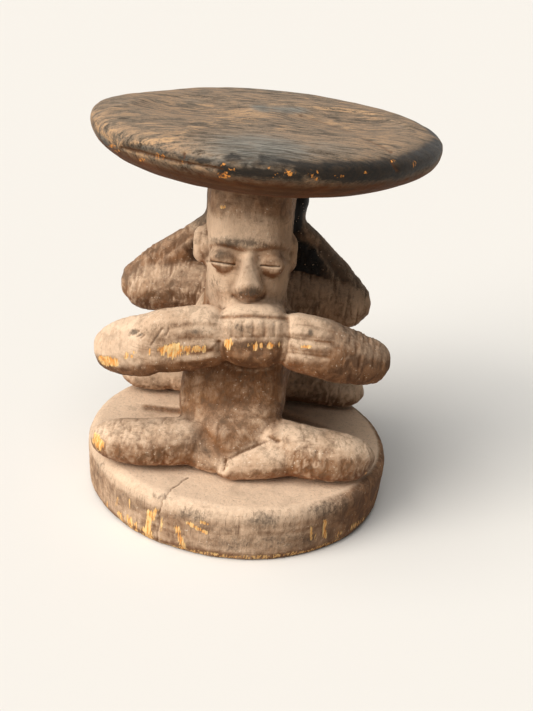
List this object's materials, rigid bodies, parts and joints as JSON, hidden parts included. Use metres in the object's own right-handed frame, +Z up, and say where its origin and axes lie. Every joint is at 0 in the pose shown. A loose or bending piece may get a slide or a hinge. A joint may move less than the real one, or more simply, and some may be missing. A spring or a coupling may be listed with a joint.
{
  "type": "caryatid stool",
  "caption": "Round wooden stool carved from one log: cross-legged figures sit back to back on a low drum and carry the seat on their heads.",
  "frame": {"origin": "centre of the drum's underside, on the floor", "axes": "+Z up, the front figure faces -Y, +X to the right of somebody who looks at that figure's face"},
  "size_m": [0.372, 0.372, 0.446],
  "materials": {
    "burnished_seat": "dark burnished wood, dusty on top and nearly black along the rim",
    "dusty_base": "worn light wood under dust, with orange chips",
    "dusty_carving": "tooled brown wood with dust on its upper faces",
    "brown_carving": "smooth brown wood, reddish in its shaded faces",
    "dark_hand": "nearly black burnished wood",
    "dark_lid": "grey-brown worn wood"
  },
  "bodies": {
    "root": {"base": "dusty_base", "seat": "burnished_seat", "core": "brown_carving", "front_trunk": "brown_carving", "front_head": "dusty_carving", "front_nose": "dusty_carving", "front_mouth": "dusty_carving", "front_eye_left": "dark_lid", "front_eye_right": "dark_lid", "front_ear_left": "dusty_carving", "front_ear_right": "dusty_carving", "front_upper_arm_left": "brown_carving", "front_upper_arm_right": "brown_carving", "front_forearm_left": "dusty_carving", "front_forearm_right": "dusty_carving", "front_hand_left": "dusty_carving", "front_hand_right": "dusty_carving", "front_leg_left": "dusty_carving", "front_leg_right": "dusty_carving", "front_foot_left": "dusty_carving", "front_foot_right": "dusty_carving", "back_trunk": "brown_carving", "back_head": "dusty_carving", "back_nose": "dusty_carving", "back_mouth": "brown_carving", "back_eye_left": "dark_lid", "back_eye_right": "dark_lid", "back_upper_arm_left": "brown_carving", "back_upper_arm_right": "brown_carving", "back_forearm_left": "brown_carving", "back_forearm_right": "brown_carving", "back_hand_left": "dark_hand", "back_hand_right": "dark_hand", "back_leg_left": "dusty_carving", "back_leg_right": "dusty_carving", "back_foot_left": "dusty_carving", "back_foot_right": "dusty_carving"}
  },
  "joints": []
}
